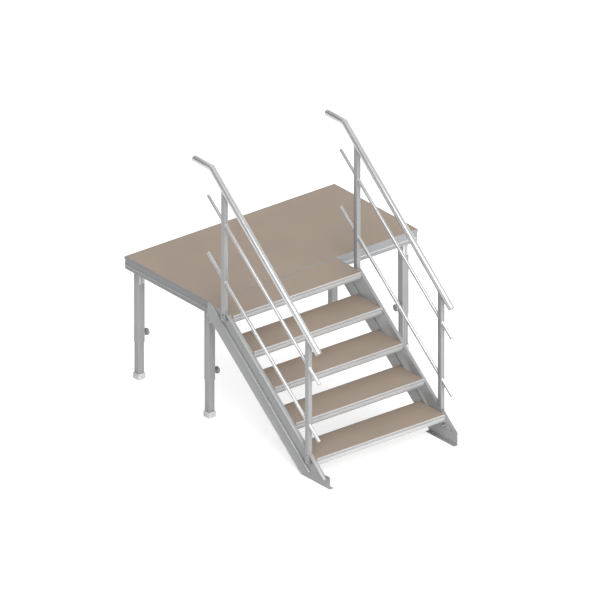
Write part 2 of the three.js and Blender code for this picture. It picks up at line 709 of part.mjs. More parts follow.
// A channel on the deck's front rail, open at the top, that the hook drops into.
function hanger() {
  const face = DECK_FRONT + BAND_RECESS - GAP;
  const lip = DECK_FRONT - HANGER_OUT;
  const bottom = DECK_HEIGHT - HANGER_BOTTOM;
  const back = DECK_HEIGHT - BEAD_MIDDLE - BEAD_RADIUS - GAP;
  const outline = [
    [face, back],
    [face, bottom],
    [lip, bottom],
    [lip, DECK_HEIGHT - HANGER_TOP],
    [lip + HANGER_WALL, DECK_HEIGHT - HANGER_TOP],
    [lip + HANGER_WALL, bottom + HANGER_WALL],
    [face - HANGER_WALL, bottom + HANGER_WALL],
    [face - HANGER_WALL, back],
  ];
  const half = HOOK_WIDTH / 2 + HANGER_MARGIN;
  return prismAlongX(shapeOf(outline), -half, half);
}

// ---------- handrails ----------

const topRailPath = [TOP_RAIL_LOW, TOP_RAIL_BEND, [TOP_RAIL_END_Y, TOP_RAIL_BEND[1]]];

function midRailPath(height) {
  const at = (y) => [y, DECK_HEIGHT + height + SLOPE * (y - POST_UPPER_Y)];
  return [at(MID_RAIL_LOW_Y), at(MID_RAIL_HIGH_Y)];
}

// A rectangular tube, coped to the top rail and drilled for the two rails below it.
function post(y) {
  const halfX = POST_WIDTH / 2;
  const halfY = POST_DEPTH / 2;
  const section = shapeOf(rectangle(-halfX, -halfY, halfX, halfY), [
    rectangle(-halfX + POST_WALL, -halfY + POST_WALL, halfX - POST_WALL, halfY - POST_WALL),
  ]);
  const [lowY, lowZ] = TOP_RAIL_LOW;
  const [bendY, bendZ] = TOP_RAIL_BEND;
  const railSlope = (bendZ - lowZ) / (bendY - lowY);
  const railZ = lowZ + railSlope * (y - lowY);
  const bottom = stringerTopAt(y) - POST_BOTTOM_DROP;
  const rise = railSlope * halfY;
  const tube = extrude(section, railZ + rise - bottom).translate(0, y, bottom);
  const aboveRail = prismAlongX(
    shapeOf([
      [y - halfY * 2, railZ - rise * 2],
      [y + halfY * 2, railZ + rise * 2],
      [y + halfY * 2, railZ + rise * 4],
      [y - halfY * 2, railZ + rise * 4],
    ]),
    -POST_WIDTH,
    POST_WIDTH,
  );
  const reach = POST_DEPTH * 2;
  const cope = barAlong(
    [y - reach, railZ - railSlope * reach],
    [y + reach, railZ + railSlope * reach],
    TOP_RAIL_RADIUS + GAP,
    SEAT_SIDES,
  );
  const drills = Object.values(MID_RAIL_HEIGHTS).map((height) => {
    const midZ = DECK_HEIGHT + height + SLOPE * (y - POST_UPPER_Y);
    return barAlong(
      [y - reach, midZ - SLOPE * reach],
      [y + reach, midZ + SLOPE * reach],
      MID_RAIL_RADIUS + GAP,
      SEAT_SIDES / 2,
    );
  });
  return cut(tube, aboveRail, cope, ...drills);
}

function handrail(side, outward) {
  const rail = new THREE.Group();
  rail.position.x = outward * POST_X;
  rail.add(named(`post_upper_${side}`, post(POST_UPPER_Y), ALUMINIUM));
  rail.add(named(`post_lower_${side}`, post(POST_LOWER_Y), ALUMINIUM));
  const topRail = mitredTube(topRailPath, TOP_RAIL_RADIUS, TOP_RAIL_WALL, TOP_RAIL_SIDES);
  rail.add(named(`top_rail_${side}`, topRail, BRIGHT_ALUMINIUM));
  for (const [level, height] of Object.entries(MID_RAIL_HEIGHTS)) {
    const tube = mitredTube(midRailPath(height), MID_RAIL_RADIUS, MID_RAIL_WALL, MID_RAIL_SIDES);
    rail.add(named(`mid_rail_${level}_${side}`, tube, BRIGHT_ALUMINIUM));
  }
  return rail;
}

function stair() {
  const whole = new THREE.Group();
  whole.position.x = STAIR_CENTRE_X;
  whole.add(treads());
  for (const [side, outward] of [['left', -1], ['right', 1]]) {
    whole.add(named(`stringer_${side}`, stringer(outward), ALUMINIUM));
    whole.add(named(`stair_foot_${side}`, stairFoot(outward), ALUMINIUM));
    whole.add(handrail(side, outward));
    const hookPlate = named(`stair_hook_${side}`, hook(), ALUMINIUM);
    hookPlate.position.x = outward * HOOK_SPREAD;
    const hangerClip = named(`stair_hanger_${side}`, hanger(), FRAME_ALUMINIUM);
    hangerClip.position.x = outward * HOOK_SPREAD;
    whole.add(hookPlate, hangerClip);
  }
  return whole;
}

// ---------- assembly ----------

const lowX = STAIR_CENTRE_X - POST_X - TOP_RAIL_RADIUS;
const lowY = BOTTOM_NOSING_Y - STAIR_FOOT_FRONT;

const platform = new THREE.Group();
platform.add(deckPanel(), deckFrame(), crossBeams(), legs(), stair());
platform.position.x = -(lowX + DECK_LENGTH / 2) / 2;
platform.position.y = -(lowY + DECK_WIDTH / 2) / 2;

export default platform;
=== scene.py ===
"""The looks of a stage riser platform: a framed deck on four telescopic legs, with a
five-step stair hooked on its front edge and a handrail on each side of the stair.

Metres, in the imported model's frame: X along the deck, +Y to its back, Z = 0 on the floor.
"""

import json
import math

import bmesh
import bpy
from mathutils import Matrix, Vector

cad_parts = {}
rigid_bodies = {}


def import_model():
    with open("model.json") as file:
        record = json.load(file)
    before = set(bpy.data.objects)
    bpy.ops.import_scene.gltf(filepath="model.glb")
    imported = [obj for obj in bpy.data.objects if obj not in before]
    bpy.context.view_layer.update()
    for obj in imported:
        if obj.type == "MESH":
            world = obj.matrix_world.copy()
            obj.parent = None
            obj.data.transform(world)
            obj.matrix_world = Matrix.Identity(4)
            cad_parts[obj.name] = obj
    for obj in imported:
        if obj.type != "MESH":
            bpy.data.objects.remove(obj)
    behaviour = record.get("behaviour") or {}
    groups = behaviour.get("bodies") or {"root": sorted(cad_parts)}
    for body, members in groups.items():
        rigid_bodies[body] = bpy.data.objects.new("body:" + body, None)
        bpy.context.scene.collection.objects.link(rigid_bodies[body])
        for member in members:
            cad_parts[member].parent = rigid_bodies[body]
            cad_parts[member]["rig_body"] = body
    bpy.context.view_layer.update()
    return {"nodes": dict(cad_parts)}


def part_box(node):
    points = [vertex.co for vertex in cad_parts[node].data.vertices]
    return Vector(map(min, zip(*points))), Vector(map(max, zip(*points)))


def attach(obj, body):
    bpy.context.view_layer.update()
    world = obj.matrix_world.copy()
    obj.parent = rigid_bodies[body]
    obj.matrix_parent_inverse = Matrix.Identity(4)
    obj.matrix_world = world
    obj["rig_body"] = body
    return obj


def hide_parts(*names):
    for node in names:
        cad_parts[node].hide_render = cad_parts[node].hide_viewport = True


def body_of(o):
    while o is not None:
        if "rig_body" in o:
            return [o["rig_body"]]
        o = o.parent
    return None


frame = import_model()

# ---------- places, read from the frame ----------

SIDES = (("left", -1), ("right", 1))
LEGS = [(f"{edge}_{side}", -sign) for edge in ("front", "back") for side, sign in SIDES]
LEVELS = ("upper", "lower")
STEPS = range(1, 6)

X_AXIS, Y_AXIS = Vector((1, 0, 0)), Vector((0, 1, 0))


def middle(node):
    low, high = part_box(node)
    return (low + high) / 2


DECK = middle("deck_panel")
DECK_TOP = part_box("deck_panel")[1].z
RAIL_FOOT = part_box("frame_rail_front")[0].z
STAIR_X = middle("tread_board_1").x
TREAD_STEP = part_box("tread_board_2")[1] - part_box("tread_board_1")[1]
SLOPE_ANGLE = math.atan(TREAD_STEP.z / TREAD_STEP.y)

# ---------- sizes that the frame's boxes don't give ----------

PANEL = 0.018
BEAD_DEPTH = 0.0655  # below the deck's top, of the bead along the frame
BEAD_REACH = 0.0055  # how far above and below its middle the bead carries a painted highlight

# Angle brackets at the cross beams' ends
BRACKET_LEG = 0.030
BRACKET_THICKNESS = 0.003
BRACKET_DROP = 0.006  # from the beam's top and foot
BRACKET_GAP = 0.0002  # between the bracket and what it is screwed to
BRACKET_HOLE = 0.6  # share of the leg's length

# Legs
LEG_TUBE = 0.060
STRIP_WIDTH = 0.020
STRIP_THICKNESS = 0.0012
STRIP_LENGTH = 0.110
STRIP_SPREAD = 0.0155  # from the middle of the leg's face to the middle of the strip
STRIP_GAP = 0.0001  # from the tube's face
STRIP_DROP = 0.0005  # from the frame's underside
BUSH_HEIGHT = 0.006
BUSH_BORE = 0.0269  # half the width of its square hole
BUSH_INSET = 0.0005  # from the outer tube's face, at its top
BUSH_TAPER = 0.0007  # more than that at its foot
BUSH_GAP = 0.0002
SOCKET_BOLT_LOW = 0.020  # above the socket's foot
SOCKET_BOLT_HIGH = 0.022  # below its top

# Clamp knob and its screw
KNOB_LENGTH = 0.024
KNOB_RADIUS = 0.029
KNOB_LOBES = 8
KNOB_LOBE_STEPS = 14
KNOB_FLUTE = 0.0026  # depth of the flutes between the lobes
KNOB_FLUTE_START = 0.75  # share of the radius where the flutes run out
KNOB_FLUTE_POWER = 0.7  # under 1, the lobes are narrower than the flutes
KNOB_BACK = [(0.0, 0.72), (0.0006, 0.78), (0.004, 0.80), (0.005, 0.93), (0.0075, 0.985)]
KNOB_GRIP = [(0.011, 1.0), (0.0165, 1.0), (0.020, 0.97), (0.0225, 0.90), (0.0237, 0.80)]
KNOB_CAP = [(0.0236, 0.62), (0.0222, 0.58), (0.0220, 0.40), (0.0236, 0.37)]
KNOB_CAP += [(0.0240, 0.30), (0.0240, 0.06)]
KNOB_PROFILE = KNOB_BACK + KNOB_GRIP + KNOB_CAP  # height over its back, share of its radius
SCREW_LENGTH = 0.029  # out of the knob's back
SCREW_BITE = 0.001  # into the knob
SCREW_RADIUS = 0.0055
THREAD_PITCH = 0.0015
THREAD_DEPTH = 0.0008
THREAD_CREST = 0.45  # share of the pitch from a root to the next crest

# Clamp boss
BOSS_BORE = 0.006
BOSS_RADIUS = 0.015
BOSS_LENGTH = 0.022
BOSS_FLANGE = 0.021
BOSS_FLANGE_THICKNESS = 0.005
BOSS_FILLET = 0.003
BOSS_CHAMFER = 0.001
BOSS_END_CHAMFER = 0.0015
RIVET_COUNT = 4
RIVET_CIRCLE = 0.018

# Treads
TREAD_BODY = 0.040
TREAD_LIP = 0.005
TREAD_BACK_LIP = 0.002
TREAD_BEAM = 0.026
TREAD_END_BAR = 0.020
TREAD_BAR_GAP = 0.0001  # from the end bars to the nosing and the back beam
NOSING_ROUND = 0.004
NOSING_DEPTH = 0.034
NOSING_LEAN = 0.008
NOSING_TURN = 0.0408  # depth below the tread's top where the nosing starts to lean back
NOSING_CHAMFER = 0.002
GROOVE_COUNT = 4
GROOVE_HEIGHT = 0.0022  # of each groove along the nosing, and of the rib above it
GROOVE_DEPTH = 0.0014
GROOVES_FOOT = 0.022  # depth below the tread's top of the lowest groove's foot
TREAD_SCREWS = (0.060, 0.240)  # behind the tread's front
TREAD_SCREW_DEPTH = 0.030

# Posts, stair feet and hooks
POST_HALF_WIDTH = 0.017
PIECE_GAP = 0.0003
POST_BOLTS = {"upper": (0.017, 0.047), "lower": (0.023, 0.063)}  # above the post's foot
STAIR_FOOT_PLATE = 0.006
STAIR_FOOT_BOLTS = ((0.163, 0.107), (0.260, 0.095))  # behind the foot's front, and height
HOOK_WALL = 0.005
HOOK_BOLT_Y = 0.022  # behind the hook's front
HOOK_BOLT_SPREAD = 0.3  # share of the hook's width

# Handrails
TOP_RAIL_RADIUS = 0.025
TOP_RAIL_WALL = 0.003
TOP_RAIL_SIDES = 72
TOP_RAIL_LOW = (-1.857, 1.085)  # Y from the deck's middle, and height
TOP_RAIL_BEND = (-0.579, 2.145)
TOP_RAIL_END = (-0.372, 2.145)
MID_RAIL_RADIUS = 0.013
MID_RAIL_WALL = 0.002
MID_RAIL_SIDES = 48
RIM_SHARE = 0.4  # of a tube's wall, rounded at its rims
PLUG_DEPTH = 0.010
PLUG_FIT = 0.0002

# Weld beads
POST_WELD_STEPS = 14  # along each side of the post
SEAT_WELD_STEPS = 40
SEAT_WELD_RADIUS = 0.0018
SEAT_WELD_LIFT = 0.0006  # out from the middle rail's skin
MITRE_WELD_STEPS = 80
MITRE_WELD_RADIUS = 0.0014
MITRE_WELD_SINK = 0.0004  # into the top rail's skin

# Finish
MERGE_DISTANCE = 0.00002
FLAT_ANGLE = math.radians(0.5)
BEVEL_ANGLE = math.radians(30)
BEVEL_SEGMENTS = 2
SHARP_ANGLE = math.radians(40)

# ---------- materials ----------


class Look:
    """A material made of nodes, with a principled shader at its end."""

    def __init__(self, name, roughness, metallic=0.0, specular=0.5):
        self.material = bpy.data.materials.new(name)
        self.material.use_nodes = True
        self.tree = self.material.node_tree
        self.shader = self.tree.nodes["Principled BSDF"]
        plain = {"Roughness": roughness, "Metallic": metallic, "Specular IOR Level": specular}
        self.feed(self.shader, plain)

    def feed(self, node, inputs):
        """Sets a node's sockets: a number or colour is its value, and a socket is linked."""
        for key, value in inputs.items():
            if isinstance(value, bpy.types.NodeSocket):
                self.tree.links.new(value, node.inputs[key])
            else:
                node.inputs[key].default_value = value

    def node(self, kind, inputs=None, **settings):
        made = self.tree.nodes.new("ShaderNode" + kind)
        for key, value in settings.items():
            setattr(made, key, value)
        self.feed(made, inputs or {})
        return made

    def math(self, operation, *values):
        return self.node("Math", dict(enumerate(values)), operation=operation).outputs[0]

    def blend(self, first, second, share):
        """The mean of two values, with this share of the first one."""
        rest = self.math("MULTIPLY", second, 1 - share)
        return self.math("ADD", self.math("MULTIPLY", first, share), rest)

    def span(self, value, source, target):
        """value, taken from one range to another and held inside it."""
        ends = zip(("From Min", "From Max", "To Min", "To Max"), source + target)
        return self.node("MapRange", {"Value": value, **dict(ends)}).outputs[0]

    def mix(self, factor, first, second, blend="MIX"):
        made = self.node("Mix", data_type="RGBA", blend_type=blend)
        self.feed(made, {0: factor, 6: first, 7: second})
        return made.outputs[2]

    def shade(self, tone, dark, light, ends=(0.35, 0.65)):
        """A colour that goes from dark to light as a tone goes from one end to the other."""
        return self.mix(self.span(tone, ends, (0, 1)), dark, light)

    def place(self):
        return self.node("TexCoord").outputs["Object"]

    def drawn(self, along, squeeze=0.012):
        """Coordinates pulled out along one direction, so that a noise in them makes streaks."""
        place = self.place()
        if along == "slope":
            turned = {"Vector": place, "Rotation": (-SLOPE_ANGLE, 0, 0)}
            place = self.node("Mapping", turned).outputs[0]
        axis = {"X": 0, "Y": 1, "Z": 2, "slope": 1}[along]
        scale = [squeeze if i == axis else 1 for i in range(3)]
        return self.node("Mapping", {"Vector": place, "Scale": scale}).outputs[0]

    def noise(self, place, scale, detail=2.0, roughness=0.5):
        inputs = {"Vector": place, "Scale": scale, "Detail": detail, "Roughness": roughness}
        return self.node("TexNoise", inputs).outputs[0]

    def edges(self, radius):
        """1 along the piece's edges and 0 on its flats."""
        rounded = self.node("Bevel", {"Radius": radius}, samples=4).outputs[0]
        plain = self.node("NewGeometry").outputs["Normal"]
        alike = self.node("VectorMath", {0: rounded, 1: plain}, operation="DOT_PRODUCT")
        return self.span(alike.outputs["Value"], (0.80, 0.99), (1.0, 0.0))

    def bump(self, height, distance, strength):
        inputs = {"Height": height, "Distance": distance, "Strength": strength}
        self.feed(self.shader, {"Normal": self.node("Bump", inputs).outputs[0]})


def grey(value, blue=0.0):
    """A neutral colour in linear light, or one slightly towards blue."""
    return (value * (1 - blue), value, value * (1 + blue), 1)


def scaled(colour, factor):
    return tuple(channel * factor for channel in colour[:3]) + (1,)


FRAME_GREY = grey(0.18, 0.01)
MILL_GREY = grey(0.235)
BRIGHT_GREY = grey(0.38, -0.005)
# Painted shade for the nosing's grooves
GROOVE_SHADE_GREY = grey(0.15)
PAD_GREY = grey(0.44)
RAIL_GREY = grey(0.48)
ZINC_DARK, ZINC_LIGHT = grey(0.22, 0.03), grey(0.34)
WELD_DARK, WELD_LIGHT = grey(0.34, 0.02), grey(0.62)
DECK_BROWN = (0.216, 0.171, 0.135, 1)
PLY_DARK, PLY_LIGHT = (0.20, 0.115, 0.058, 1), (0.44, 0.29, 0.165, 1)
PLY_GRAIN = (0.25, 0.15, 0.08, 1)
FOOT_GREY = grey(0.36, 0.01)
KNOB_GREY = grey(0.17, 0.02)
PLUG_GREY = grey(0.22, 0.02)
FLOOR_DARK, FLOOR_LIGHT = grey(0.48), grey(0.52)
FLOOR_GLOW = 0.62

# How many times brighter than its colour each kind of wear, the printed mesh and the painted highlight on
# the frame's bead are
RUBBED = 1.5
HIGHLIGHT_GAIN = 1.9
SCUFFED = 1.35
PRINTED = 1.45


def extruded_metal(name, colour, along, roughness=0.38, metallic=0.3, painted_highlight_band=None):
    """Mill-finish aluminium: die lines along it, cloudy patina, and edges rubbed bright.

    The last argument gives the height and half the width of a level band that is painted brighter as a
    highlight.
    """
    look = Look(name, roughness, metallic)
    streaks = look.drawn(along)
    fine = look.noise(streaks, scale=900, detail=3)
    broad = look.noise(streaks, scale=110)
    clouds = look.noise(look.place(), scale=5, detail=5, roughness=0.6)
    patchy = look.span(clouds, (0.35, 0.6), (0.35, 1.0))
    worn = look.math("MULTIPLY", look.edges(0.0018), patchy)
    base = look.shade(look.blend(broad, clouds, 0.5), scaled(colour, 0.93), scaled(colour, 1.07))
    base = look.mix(look.math("MULTIPLY", worn, 0.45), base, scaled(colour, RUBBED))
    # Painted highlight: a level band round the frame's bead is painted brighter than the metal
    if painted_highlight_band:
        level, reach = painted_highlight_band
        height = look.node("SeparateXYZ", {0: look.place()}).outputs["Z"]
        away = look.math("ABSOLUTE", look.math("SUBTRACT", height, level))
        base = look.mix(look.span(away, (reach * 0.6, reach), (1.0, 0.0)), base, scaled(colour, HIGHLIGHT_GAIN))
    lines = look.span(fine, (0.3, 0.7), (-0.05, 0.05))
    patina = look.span(clouds, (0.3, 0.7), (-0.05, 0.07))
    dull = look.math("ADD", look.math("ADD", lines, patina), roughness)
    dull = look.math("SUBTRACT", dull, look.math("MULTIPLY", worn, 0.10))
    look.feed(look.shader, {"Base Color": base, "Roughness": dull})
    relief = look.math("ADD", fine, look.math("MULTIPLY", broad, 0.6))
    look.bump(relief, distance=0.00012, strength=0.6)
    return look.material


def wire_mesh(look, place, pitch=0.005, fineness=6.0):
    """1 on the wires of a level square mesh, falling to 0 in its holes."""
    split = look.node("SeparateXYZ", {0: place})
    wires = []
    for axis in ("X", "Y"):
        wave = look.math("SINE", look.math("MULTIPLY", split.outputs[axis], math.pi / pitch))
        wires.append(look.math("POWER", look.math("ABSOLUTE", wave), fineness))
    return look.math("MAXIMUM", *wires)


def film_face(name, colour, patterned):
    """Phenolic film on plywood. The walking face carries the print of a fine wire mesh."""
    look = Look(name, 0.62, specular=0.35)
    place = look.place()
    clouds = look.noise(place, scale=3.5, detail=6, roughness=0.6)
    grain = look.noise(place, scale=420, detail=3)
    tone = look.blend(clouds, grain, 0.6)
    base = look.shade(tone, scaled(colour, 0.92), scaled(colour, 1.08))
    relief = grain
    if patterned:
        mesh = wire_mesh(look, place)
        base = look.mix(look.math("MULTIPLY", mesh, 0.30), base, scaled(colour, PRINTED))
        relief = look.math("ADD", look.math("MULTIPLY", mesh, 3.0), grain)
    stretched = look.node("Mapping", {"Vector": place, "Scale": (3, 40, 1)}).outputs[0]
    scuffs = look.span(look.noise(stretched, scale=1.5, detail=8), (0.60, 0.75), (0, 0.25))
    base = look.mix(scuffs, base, scaled(colour, SCUFFED))
    dull = look.span(tone, (0.35, 0.65), (0.56, 0.70))
    look.feed(look.shader, {"Base Color": base, "Roughness": dull})
    look.bump(relief, distance=0.00018, strength=0.7)
    return look.material


def ply_edge(name, layer=0.0028):
    """The layered edge of birch plywood, with layers a little out of level."""
    look = Look(name, 0.7)
    place = look.place()
    depth = look.node("SeparateXYZ", {0: place}).outputs["Z"]
    wobble = look.math("MULTIPLY", look.noise(place, scale=30, detail=3), 0.0006)
    phase = look.math("MULTIPLY", look.math("ADD", depth, wobble), 2 * math.pi / layer)
    layers = look.math("SINE", phase)
    grain = look.noise(place, scale=260, detail=4)
    base = look.shade(layers, PLY_DARK, PLY_LIGHT, ends=(-0.4, 0.4))
    base = look.mix(look.math("MULTIPLY", grain, 0.35), base, PLY_GRAIN)
    look.feed(look.shader, {"Base Color": base})
    look.bump(look.math("ADD", grain, layers), distance=0.0001, strength=0.5)
    return look.material


def moulded_plastic(name, colour):
    """Moulded plastic with a fine spark-eroded grain and paler scuffs on its edges."""
    look = Look(name, 0.5, specular=0.4)
    place = look.place()
    grain = look.noise(place, scale=1400)
    clouds = look.noise(place, scale=25, detail=4)
    base = look.shade(clouds, scaled(colour, 0.92), scaled(colour, 1.08))
    base = look.mix(look.math("MULTIPLY", look.edges(0.0015), 0.35), base, scaled(colour, RUBBED))
    dull = look.span(clouds, (0.3, 0.7), (0.44, 0.58))
    look.feed(look.shader, {"Base Color": base, "Roughness": dull})
    look.bump(grain, distance=0.00008, strength=0.6)
    return look.material


def zinc_steel(name):
    """Zinc-plated steel, with the faint spangle of the plating."""
    look = Look(name, 0.32, 0.9)
    place = look.place()
    spangle = look.node("TexVoronoi", {"Vector": place, "Scale": 500.0}).outputs["Color"]
    clouds = look.noise(place, scale=60, detail=4)
    base = look.shade(clouds, ZINC_DARK, ZINC_LIGHT)
    base = look.mix(0.10, base, spangle, blend="OVERLAY")
    dull = look.span(clouds, (0.3, 0.7), (0.26, 0.42))
    look.feed(look.shader, {"Base Color": base, "Roughness": dull})
    look.bump(clouds, distance=0.0001, strength=0.4)
    return look.material


def weld_metal(name):
    """Bright weld metal, slightly stained beside its ripples."""
    look = Look(name, 0.35, 0.75)
    place = look.place()
    stain = look.noise(place, scale=180, detail=4)
    base = look.shade(stain, WELD_DARK, WELD_LIGHT, ends=(0.4, 0.65))
    dull = look.span(stain, (0.3, 0.7), (0.28, 0.5))
    look.feed(look.shader, {"Base Color": base, "Roughness": dull})
    look.bump(look.noise(place, scale=700, detail=3), distance=0.0002, strength=0.6)
    return look.material


def studio_floor(name):
    """A plain pale studio floor with a faint soft mottle, lit a little from within."""
    look = Look(name, 0.85, specular=0.15)
    mottle = look.noise(look.place(), scale=1.2, detail=5)
    base = look.shade(mottle, FLOOR_DARK, FLOOR_LIGHT, ends=(0.3, 0.7))
    glow = {"Emission Color": (1, 1, 1, 1), "Emission Strength": FLOOR_GLOW}
    look.feed(look.shader, {"Base Color": base, **glow})
    look.bump(look.noise(look.place(), scale=90, detail=3), distance=0.0002, strength=0.3)
    return look.material


# Painted highlight along the frame rails' bead: the band's height and half its width
BEAD_PAINTED_HIGHLIGHT = (DECK_TOP - BEAD_DEPTH, BEAD_REACH)
# Painted light and shade: the front and back rails get the frame grey painted 1.2 times lighter, the side
# rails 0.88 times darker
FRAME_PAINTED_LIGHT_X = extruded_metal("frame_aluminium_painted_light_x", scaled(FRAME_GREY, 1.2), "X", painted_highlight_band=BEAD_PAINTED_HIGHLIGHT)
FRAME_PAINTED_SHADE_Y = extruded_metal("frame_aluminium_painted_shade_y", scaled(FRAME_GREY, 0.88), "Y", painted_highlight_band=BEAD_PAINTED_HIGHLIGHT)
FRAME_Z = extruded_metal("frame_aluminium_z", FRAME_GREY, "Z")
MILL_X = extruded_metal("mill_aluminium_x", MILL_GREY, "X")
MILL_Y = extruded_metal("mill_aluminium_y", MILL_GREY, "Y")
MILL_Z = extruded_metal("mill_aluminium_z", MILL_GREY, "Z")
MILL_SLOPE = extruded_metal("mill_aluminium_slope", MILL_GREY, "slope")
BRIGHT_X = extruded_metal("nosing_aluminium", BRIGHT_GREY, "X", roughness=0.34, metallic=0.35)
# Painted shade: the nosing's grooves get a much darker, rougher aluminium than the rest of the nosing
GROOVE_PAINTED_SHADE_X = extruded_metal("groove_aluminium_painted_shade", GROOVE_SHADE_GREY, "X", roughness=0.6)
BRIGHT_Z = extruded_metal("pad_aluminium", PAD_GREY, "Z", roughness=0.34, metallic=0.3)
RAIL_SLOPE = extruded_metal("rail_aluminium", RAIL_GREY, "slope", roughness=0.24, metallic=0.85)
FILM_TOP = film_face("decking_film_mesh", DECK_BROWN, True)
FILM_UNDER = film_face("decking_film_smooth", scaled(DECK_BROWN, 0.7), False)
PLY = ply_edge("decking_edge")
FOOT = moulded_plastic("foot_plastic_grey", FOOT_GREY)
KNOB = moulded_plastic("knob_plastic_grey", KNOB_GREY)
PLUG = moulded_plastic("plug_plastic_grey", PLUG_GREY)
STEEL = zinc_steel("zinc_steel")
WELD = weld_metal("weld_metal")

# ---------- mesh helpers ----------


def round_edges(piece, width):
    rounded = piece.modifiers.new("edges", "BEVEL")
    rounded.width = width
    rounded.segments = BEVEL_SEGMENTS
    rounded.limit_method = "ANGLE"
    rounded.angle_limit = BEVEL_ANGLE
    rounded.harden_normals = True


def smooth(data):
    for polygon in data.polygons:
        polygon.use_smooth = True


def dress(node, look, width=0.0008):
    """Keeps a CAD node: merges its split corners and flat faces, rounds its edges, and
    gives it a finished material."""
    piece = frame["nodes"][node]
    piece.material_slots[0].material = look
    smooth(piece.data)
    piece.modifiers.new("weld", "WELD").merge_threshold = MERGE_DISTANCE
    flats = piece.modifiers.new("flats", "DECIMATE")
    flats.decimate_type = "DISSOLVE"
    flats.angle_limit = FLAT_ANGLE
    round_edges(piece, width)


def piece_of(name, mesh, look, body, bevel=0.0):
    """Makes one piece from a bmesh, with one material or several, riding on a body."""
    bmesh.ops.recalc_face_normals(mesh, faces=mesh.faces)
    data = bpy.data.meshes.new(name)
    mesh.to_mesh(data)
    mesh.free()
    smooth(data)
    for each in look if isinstance(look, list) else [look]:
        data.materials.append(each)
    piece = bpy.data.objects.new(name, data)
    bpy.context.scene.collection.objects.link(piece)
    if bevel:
        round_edges(piece, bevel)
    else:
        data.set_sharp_from_angle(angle=SHARP_ANGLE)
    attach(piece, body)
    return piece


def box(mesh, low, high):
    """Adds a box between two corners."""
    size = Vector(high) - Vector(low)
    centre = (Vector(high) + Vector(low)) / 2
    bmesh.ops.create_cube(mesh, size=1, matrix=Matrix.Translation(centre) @ Matrix.Diagonal((*size, 1)))


def loft(mesh, rings, closed=False):
    """Joins rings of points into a skin. An open one gets flat ends, a closed one meets itself."""
    made = [[mesh.verts.new(point) for point in ring] for ring in rings]
    following = made[1:] + made[:1] if closed else made[1:]
    for here, there in zip(made, following):
        for i in range(len(here)):
            j = (i + 1) % len(here)
            mesh.faces.new((here[i], here[j], there[j], there[i]))
    if not closed:
        mesh.faces.new(made[0])
        mesh.faces.new(made[-1])


def prism_x(mesh, outline, from_x, to_x):
    """Adds a solid of constant section, drawn in Y and Z, between two X places."""
    loft(mesh, [[(x, y, z) for y, z in outline] for x in (from_x, to_x)])


def arc(centre, radius, start, end, steps):
    """Points along a circular arc, in degrees, both ends included."""
    angles = [math.radians(start + (end - start) * k / steps) for k in range(steps + 1)]
    return [(centre[0] + radius * math.cos(a), centre[1] + radius * math.sin(a)) for a in angles]


def round_angles(count):
    """The angles of points spread evenly round a circle."""
    return [2 * math.pi * k / count for k in range(count)]


def lay_along(axis):
    """The turn that takes +Z to an axis."""
    return axis.to_track_quat("Z", "Y").to_matrix()


def turned(mesh, profile, origin, axis, sides=48):
    """Adds a turned solid: profile is (distance along the axis, radius) from one end to the other."""
    lay = lay_along(axis)
    rings = []
    for along, radius in profile:
        ring = [(radius * math.cos(a), radius * math.sin(a), along) for a in round_angles(sides)]
        rings.append([origin + lay @ Vector(point) for point in ring])
    loft(mesh, rings)


def turned_ring(mesh, section, origin, axis, sides=48):
    """Adds a turned ring: section is a closed outline of (distance along the axis, radius)."""
    lay = lay_along(axis)
    rings = []
    for angle in round_angles(sides):
        out = Vector((math.cos(angle), math.sin(angle), 0))
        rings.append([origin + lay @ (out * radius + Vector((0, 0, along))) for along, radius in section])
    loft(mesh, rings, closed=True)


def hex_bolt(mesh, seat, axis, across=0.013):
    """Adds a hexagon head on a washer, standing on its seat along the axis."""
    washer, thickness, chamfer = across * 0.92, 0.0012, 0.0004
    foot = thickness + chamfer
    turned(mesh, [(0, washer), (thickness, washer), (foot, washer - chamfer)], seat, axis, sides=32)
    corner, height = across / math.sqrt(3), across * 0.62
    head = [(foot, corner), (height * 0.9, corner), (height, corner * 0.88), (height, corner * 0.3)]
    turned(mesh, head, seat, axis, sides=6)


def socket_screw(mesh, seat, axis, radius=0.006):
    """Adds a domed screw head with a round driving socket."""
    rim, rise, core = 0.0008, radius * 0.5, radius * 0.42
    profile = [(0, radius)]
    for along, out in arc((0, 0), 1, 90, 25, 5):
        profile.append((rim + rise * along, core + (radius - core) * out))
    top = profile[-1][0]
    socket, depth = radius * 0.40, radius * 0.3
    profile += [(top, socket), (top - depth, socket * 0.95)]
    turned(mesh, profile, seat, axis, sides=24)


def fasteners(name, body, places, make=hex_bolt, **size):
    """One piece for a group of like fasteners: places are (seat, direction) pairs."""
    mesh = bmesh.new()
    for seat, axis in places:
        make(mesh, Vector(seat), Vector(axis), **size)
    return piece_of(name, mesh, STEEL, body, bevel=0.0003)


def bead(mesh, loop, radius=0.0028, ripple=0.16, sides=8):
    """Adds a weld bead along a closed loop of points, thicker at every other point."""
    centre = sum(loop, Vector()) / len(loop)
    rings = []
    for i, point in enumerate(loop):
        along = (loop[(i + 1) % len(loop)] - loop[i - 1]).normalized()
        out = point - centre
        out = (out - along * out.dot(along)).normalized()
        over = along.cross(out)
        size = radius * (1 + ripple * math.cos(math.pi * i))
        ways = [out * math.cos(angle) + over * math.sin(angle) for angle in round_angles(sides)]
        rings.append([point + way * size for way in ways])
    loft(mesh, rings, closed=True)


# ---------- deck ----------


